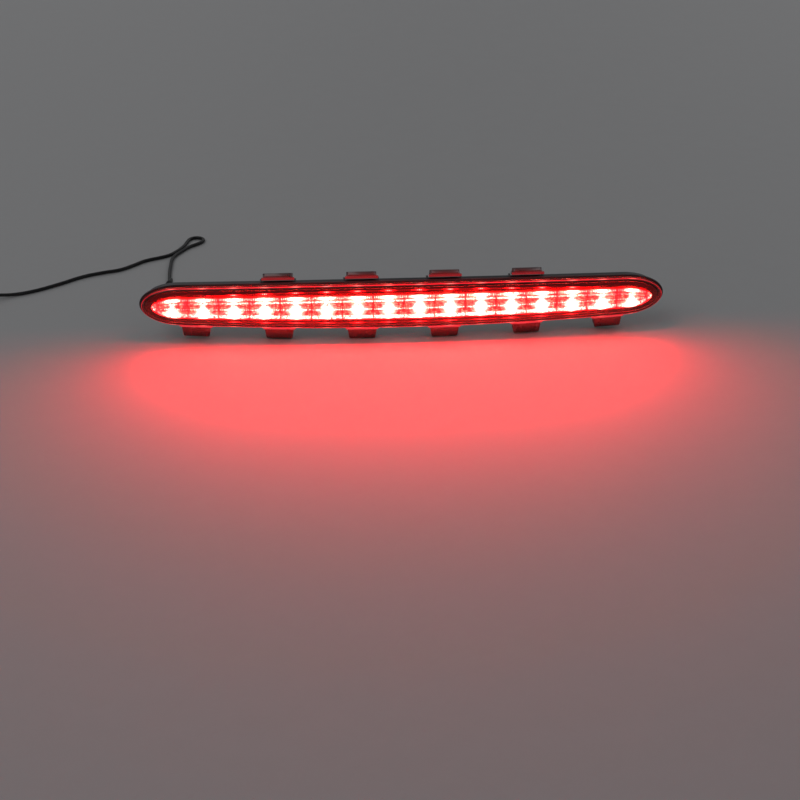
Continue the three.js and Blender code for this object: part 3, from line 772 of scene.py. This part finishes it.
rib_depth = (17.2, 18.8)
rib_half_width = 0.6
rib_rounding = 0.25
for x in (-108.8, -81.6, -54.4, -27.2, 0, 27.2, 54.4, 81.6, 108.8, 136):
    reach = rim_height(x) - 7.0
    add_bar(housing, (x - rib_half_width, x + rib_half_width), rib_depth, (-reach, reach), rib_rounding)
for height in (-3.4, 3.4):
    across = (height - rib_half_width, height + rib_half_width)
    add_bar(housing, (-136, 154), rib_depth, across, rib_rounding, 22)
for side, count in ((-1, 6), (1, 4)):
    for i in range(count):
        station = (i - (count - 1) / 2) * clip_pitch
        for edge in (-1, 1):
            x = station + edge * (clip_half_width + 1.3)
            foot = side * (rim_height(x) - 4.2)
            top = side * (rim_height(x) - 1.9)
            add_bar(housing, (x - 0.7, x + 0.7), (9.5, 15.6), sorted((foot, top)), 0.35)
boss_radius = 3 * mm
pin_radius = 2.2 * mm
for x in (-140.7, -60.3, 60.3, 140.7):
    place = Vector((x * mm, flange_front_y + 12.3 * mm + bow(x * mm), lens_middle_z + 3 * mm))
    turned = Matrix.Translation(place) @ Matrix.Rotation(math.pi / 2, 4, "X")
    bmesh.ops.create_cone(
        housing, cap_ends=True, segments=24, radius1=boss_radius, radius2=boss_radius,
        depth=10.2 * mm, matrix=turned)
for x in (-122.4, -68, -13.6, 40.8, 95.2):
    place = Vector((x * mm, flange_front_y + 17.5 * mm + bow(x * mm), lens_middle_z))
    turned = Matrix.Translation(place) @ Matrix.Rotation(math.pi / 2, 4, "X")
    pin_mark = bmesh.ops.create_cone(
        housing, cap_ends=True, segments=28, radius1=pin_radius, radius2=pin_radius,
        depth=0.5 * mm, matrix=turned)
    back_face = max({face for vertex in pin_mark["verts"] for face in vertex.link_faces},
                    key=lambda face: face.calc_center_median().y)
    bmesh.ops.inset_region(housing, faces=[back_face], thickness=0.5 * mm, depth=-0.15 * mm)
rear_housing = finish_piece(housing, "housing_moulding", [housing_black])
fit(rear_housing, "lamp", "housing_black", "rear_housing")


# --- Foam seal --------------------------------------------------------------------------------------
# A closed-cell foam ring stuck to the back of the flange, which seals the lamp to the boot lid.
def make_foam():
    """Dull dark foam with small cells in its relief."""
    material = grained_material(
        "seal_foam", (0.018, 0.018, 0.019), (0.04, 0.04, 0.042), 0.92, 900, 0.3, 0.3)
    tree = material.node_tree
    cells = tree.nodes.new("ShaderNodeTexVoronoi")
    cells.inputs["Scale"].default_value = 1600
    place = tree.nodes.new("ShaderNodeTexCoord")
    tree.links.new(place.outputs["Object"], cells.inputs["Vector"])
    relief = next(node for node in tree.nodes if node.bl_idname == "ShaderNodeBump")
    relief.inputs["Strength"].default_value = 0.6
    tree.links.new(cells.outputs["Distance"], relief.inputs["Height"])
    return material


gasket_rings = [
    (3.2, 2.1, 0, 0), (3.0, 1.93, 0, 0), (0.8, 1.93, 0, 0), (0.55, 2.1, 0, 0), (0.5, 2.45, 0, 0),
    (0.55, 2.8, 0, 0), (0.8, 2.98, 0, 0), (3.0, 2.98, 0, 0), (3.2, 2.8, 0, 0),
]
foam_seal = finish_piece(outline_form(320, gasket_rings, closed=True), "foam_seal", [make_foam()])
fit(foam_seal, "lamp", "gasket_foam", "flange_gasket")


# --- Spring clips -----------------------------------------------------------------------------------
# Moulded strips of smoke-red translucent plastic along both edges. Each has a ledge that catches behind
# the panel, a front leg, a rounded foot, and a ramp back to its root on the housing.
def make_clip_plastic():
    """Translucent plastic with painted light: its ledge and leg fronts glow red, standing in for the
    lens's light falling on them.
    """
    material = grained_material(
        "clip_smoke", (0.075, 0.012, 0.012), (0.12, 0.02, 0.019), 0.28, 1400, 0.12, 0.4)
    tree = material.node_tree
    shader = tree.nodes["Principled BSDF"]
    _, z, _, outwards = lamp_places(tree)
    rim = calculate(tree, "SUBTRACT", half_height / mm, calculate(tree, "MULTIPLY", outwards, 3.0))
    beyond = calculate(tree, "SUBTRACT", calculate(tree, "ABSOLUTE", z), rim)
    split = next(node for node in tree.nodes if node.bl_idname == "ShaderNodeSeparateXYZ")
    depth = calculate(tree, "SUBTRACT", calculate(
        tree, "MULTIPLY", split.outputs["Y"], 1000), flange_front_y / mm)
    depth = calculate(tree, "SUBTRACT", depth, calculate(
        tree, "MULTIPLY", outwards, bow(half_length) / mm))
    # Painted light: emission on the front of each clip's ledge and leg stands in for the lens's red light
    # falling there, stronger on the lower clips.
    lit_front_faces = calculate(tree, "LESS_THAN", depth, 4.2)
    is_lower = calculate(tree, "LESS_THAN", z, 0.0)
    lower = calculate(tree, "ADD", calculate(tree, "MULTIPLY", is_lower, 0.65), 0.35)
    ledge_painted_light = band(tree, beyond, 2.7, 1.1, 0.9)
    leg_painted_light = band(tree, beyond, 4.5, 4.0, 0.1, 2)
    glow = product(tree, lower, total(tree, ledge_painted_light, leg_painted_light))
    colour = colour_by(tree, product(tree, glow, lit_front_faces), [
        (0, (0.0, 0.0, 0.0)), (0.15, (0.08, 0.002, 0.003)), (1, (0.9, 0.045, 0.06))])
    tree.links.new(colour, shader.inputs["Emission Color"])
    shader.inputs["Emission Strength"].default_value = 0.8
    shader.inputs["Coat Weight"].default_value = 0.3
    return material


clip_plastic = make_clip_plastic()
strip_thick = 1.5
strip_front = 3.4
strip_root = -1.75


def make_clip(name, station, side, reach):
    """One clip, drawn as (along the lamp, depth, distance beyond the rim) and then laid on the rim."""
    bm = bmesh.new()
    line = [
        (strip_front, 2.2), (strip_front, reach), (10.8, reach), (15.6, strip_root), (18.1, strip_root)]
    verts = [bm.verts.new((-clip_half_width, depth, beyond)) for depth, beyond in line]
    edges = [bm.edges.new(pair) for pair in zip(verts, verts[1:])]
    made = bmesh.ops.extrude_edge_only(bm, edges=edges)["geom"]
    drawn_out = [item for item in made if isinstance(item, bmesh.types.BMVert)]
    bmesh.ops.translate(bm, vec=(2 * clip_half_width, 0, 0), verts=drawn_out)
    bends = [edge for edge in bm.edges if len(edge.link_faces) == 2]
    bevel_edges(bm, bends, 1.6, 4)
    bmesh.ops.recalc_face_normals(bm, faces=bm.faces)
    foot = max(bm.faces, key=lambda face: (
        face.calc_center_median().z - abs(face.calc_center_median().y - 7)))
    if foot.normal.z < 0:
        bmesh.ops.reverse_faces(bm, faces=bm.faces)
    bmesh.ops.solidify(bm, geom=bm.faces[:], thickness=strip_thick)
    ramp = [face for face in bm.faces
            if face.normal.z > 0.3 and face.normal.y > 0.3 and face.calc_area() > 40]
    if ramp:
        bmesh.ops.inset_individual(bm, faces=ramp, thickness=1.6, depth=-0.45)
    sharp = [edge for edge in bm.edges if len(edge.link_faces) == 2 and edge.calc_face_angle() > 0.9]
    bevel_edges(bm, sharp, 0.22, 2)
    add_block(bm, (-10.75, 3.0, 2.0), (10.75, 4.4, 3.75), 0.3, 3)
    for vertex in bm.verts:
        across, depth, beyond = vertex.co
        width = 1 - 0.012 * max(0, beyond) - 0.07 * max(0, beyond - reach + 1.8) ** 2 / 3.2
        x = (station + across * (width if beyond > 3.8 else 1)) * mm
        z = side * (rim_height(x / mm) + beyond) * mm
        vertex.co = (x, flange_front_y + depth * mm + bow(x), lens_middle_z + z)
    bmesh.ops.recalc_face_normals(bm, faces=bm.faces)
    fit(finish_piece(bm, name + "_moulding", [clip_plastic]), name, "clip_smoke", name)


for edge_name, side, count, reach in (("lower", -1, 6, 10.8), ("upper", 1, 4, 4.3)):
    for i in range(count):
        make_clip(f"{edge_name}_clip_{i + 1}", (i - (count - 1) / 2) * clip_pitch, side, reach)


# --- Boot -------------------------------------------------------------------------------------------
# A moulded rubber strain relief, snapped into the housing's back wall, with five softening ribs.
boot_x = -156
boot_profile = [
    (-3.6, 0.001), (-3.6, 3.8), (-3.4, 4.0), (-2.5, 4.0), (-2.3, 3.8), (-2.3, 3.2), (0.3, 3.2),
    (0.3, 4.6), (0.5, 4.8), (1.3, 4.8), (1.6, 4.6), (2.2, 3.8), (3.0, 3.6),
]
for i in range(5):
    along = 3.6 + 2.5 * i
    radius = 3.55 - 0.29 * i
    boot_profile += [
        (along, radius), (along + 0.25, radius - 0.1), (along + 0.4, radius - 0.6),
        (along + 1.1, radius - 0.66), (along + 1.25, radius - 0.25), (along + 1.5, radius - 0.15),
    ]
boot_profile += [(16.4, 2.1), (17.5, 2.0), (18.0, 1.85), (18.0, 0.001)]
boot = bmesh.new()
spin_about_x(boot, boot_profile, Vector((0, 0, 0)), 36)
bmesh.ops.remove_doubles(boot, verts=boot.verts, dist=weld)
bmesh.ops.recalc_face_normals(boot, faces=boot.faces)
boot_place = Vector((boot_x * mm, flange_front_y + 19 * mm + bow(boot_x * mm), lens_middle_z))
boot_turn = Matrix.Rotation(math.pi / 2 + math.atan(boot_x * mm / bow_radius), 4, "Z")
bmesh.ops.transform(boot, matrix=Matrix.Translation(boot_place) @ boot_turn, verts=boot.verts)
boot_rubber = grained_material(
    "boot_rubber", (0.012, 0.012, 0.012), (0.028, 0.027, 0.026), 0.68, 1300, 0.25, 0.6)
rubber_boot = finish_piece(boot, "rubber_boot", [boot_rubber])
fit(rubber_boot, "lamp", "boot_rubber", "lead_boot")


# --- Plug -------------------------------------------------------------------------------------------
# A two-way plug on the lead's end: a ribbed silicone wire seal, a glass-filled body with two mouths and
# brass terminals, and a lock lever that rocks on its pivot.
route_end = Vector(lead_route[-1])
away = route_end - Vector(lead_route[-2])
away.z = 0
away.normalize()
plug_origin = (Vector((route_end.x, route_end.y, 0)) + away * 0.3) * mm
plug_place = Matrix.Translation(plug_origin) @ Matrix.Rotation(math.atan2(away.y, away.x), 4, "Z")


def place_on_lead(bm):
    """Takes a plug piece drawn in mm, its mouth towards +X, to its place at the end of the lead."""
    bmesh.ops.recalc_face_normals(bm, faces=bm.faces)
    bmesh.ops.transform(bm, matrix=plug_place @ Matrix.Diagonal((mm, mm, mm, 1)), verts=bm.verts)
    return bm


seal_profile = [
    (-0.12, 0.001), (-0.12, 1.6), (0.2, 2.0), (0.4, 2.9), (0.6, 3.2), (0.9, 3.2), (1.05, 2.8), (1.3, 2.7),
    (1.45, 3.2), (1.85, 3.2), (2.0, 2.8), (2.3, 2.7), (2.45, 3.2), (3.0, 3.2), (3.4, 3.0), (3.4, 0.001),
]
seal = bmesh.new()
drawn_in_mm = [(along / mm, radius / mm) for along, radius in seal_profile]
spin_about_x(seal, drawn_in_mm, Vector((0, 0, 4.5)), 32)
bmesh.ops.remove_doubles(seal, verts=seal.verts, dist=0.01)
seal_rubber = grained_material("seal_rubber", (0.25, 0.05, 0.02), (0.34, 0.075, 0.035), 0.6, 1500, 0.15)
wire_seal = finish_piece(place_on_lead(seal), "ribbed_wire_seal", [seal_rubber])
fit(wire_seal, "lamp", "seal_rubber", "wire_seal")

plug = bmesh.new()
add_block(plug, (3.7, -6, 0), (25.7, 6, 7))
bmesh.ops.bisect_plane(
    plug, geom=[*plug.verts, *plug.edges, *plug.faces], plane_co=(0, 0, 0), plane_no=(0, 1, 0))
mouths = [face for face in plug.faces if face.calc_center_median().x > 25.6]
bmesh.ops.inset_individual(plug, faces=mouths, thickness=1.6, depth=0)
bmesh.ops.inset_individual(plug, faces=mouths, thickness=0.15, depth=-0.3)
bmesh.ops.inset_individual(plug, faces=mouths, thickness=0.02, depth=-9.5)
long_edges = [edge for edge in plug.edges if edge.calc_length() > 5 and edge.calc_face_angle(0) > 1.2]
corners = [edge for edge in long_edges if all(
    abs(abs(end.co.y) - 6) < 0.01 or end.co.x > 25.6 or end.co.x < 3.8 for end in edge.verts)]
bevel_edges(plug, corners, 0.5, 3)
add_block(plug, (4.7, -6.8, 0), (10.7, 6.8, 7.6), 0.6, 3)
for i in range(3):
    x = 5.5 + 1.6 * i
    for side in (-1, 1):
        add_block(plug, (x, side * 6.55 - 0.25, 1.2), (x + 0.8, side * 6.55 + 0.25, 6.4), 0.15)
add_block(plug, (14.2, -2.5, 6.8), (17.2, 2.5, 8.0), 0.3)
for side in (-1, 1):
    add_block(plug, (11.4, side * 4.6 - 0.5, 6.6), (24.6, side * 4.6 + 0.5, 7.5), 0.25)
connector_black = grained_material(
    "connector_black", (0.013, 0.013, 0.014), (0.026, 0.026, 0.028), 0.45, 1300, 0.25, 0.4)
plug_body = finish_piece(place_on_lead(plug), "plug_body", [connector_black])
fit(plug_body, "lamp", "connector_black", "connector_housing")
brass = grained_material(
    "terminal_brass", (0.60, 0.43, 0.16), (0.74, 0.56, 0.25), 0.28, 1500, 0.1, Metallic=1.0)
finish_node("terminal_1", brass)
finish_node("terminal_2", brass)

lever = bmesh.new()
add_block(lever, (11.8, -2.4, 8.35), (25.1, 2.4, 9.35), 0.3, 3)
add_block(lever, (23.4, -2.4, 7.35), (25.1, 2.4, 8.6), 0.3, 3)
for i in range(4):
    add_block(lever, (12.2 + 0.8 * i, -2.1, 9.1), (12.6 + 0.8 * i, 2.1, 9.4), 0.08)
lock_lever = finish_piece(place_on_lead(lever), "plug_lock_lever", [connector_black])
fit(lock_lever, "lock_lever", "connector_black", "lock_lever")


# --- Floor and light --------------------------------------------------------------------------------
# A plain pale floor, and soft light kept low enough that the lamp's own red light shows on it.
floor_mesh = bmesh.new()
bmesh.ops.create_grid(floor_mesh, x_segments=1, y_segments=1, size=4)
pale_floor = grained_material(
    "pale_floor", (0.665, 0.66, 0.655), (0.68, 0.675, 0.67), 0.6, 300, 0.02, 0.0, 60)
floor = finish_piece(floor_mesh, "floor", [pale_floor])

world = bpy.data.worlds.new("studio")
bpy.context.scene.world = world
world.use_nodes = True
sky = world.node_tree.nodes["Background"]
sky.inputs["Color"].default_value = (0.9, 0.93, 1, 1)
sky.inputs["Strength"].default_value = 0.09


def soft_light(name, place, size, power):
    """A wide soft light that faces the lamp and isn't seen itself."""
    data = bpy.data.lights.new(name, "AREA")
    data.size = size
    data.energy = power
    light = bpy.data.objects.new(name, data)
    light.location = place
    light.rotation_euler = (Vector((0, 0, 0.02)) - Vector(place)).to_track_quat("-Z", "Y").to_euler()
    light.visible_camera = False
    bpy.context.collection.objects.link(light)


soft_light("key_light", (-1.2, -1.0, 1.8), 1.6, 4.6)
soft_light("fill_light", (1.6, 0.8, 1.5), 1.8, 1.6)
soft_light("back_light", (-0.8, 2.1, 1.3), 1.6, 3.6)
soft_light("side_back_light", (1.3, 2.1, 1.3), 1.6, 3.6)


def thrown_light(name, ahead, above, tilt, power):
    """Red light that the lamp throws forwards onto the floor. The light itself isn't seen."""
    data = bpy.data.lights.new(name, "AREA")
    data.shape = "RECTANGLE"
    data.size = 2 * half_length - 30 * mm
    data.size_y = 14 * mm
    data.color = (1, 0.012, 0.012)
    data.energy = power
    light = bpy.data.objects.new(name, data)
    light.location = (0, flange_front_y - ahead * mm, lens_middle_z + above * mm)
    light.rotation_euler = (math.radians(tilt - 90), 0, 0)
    light.visible_camera = light.visible_glossy = light.visible_transmission = False
    bpy.context.collection.objects.link(light)


thrown_light("near_light", 8, 0, 12, 0.36)
thrown_light("far_light", 8, 60, 25, 0.5)
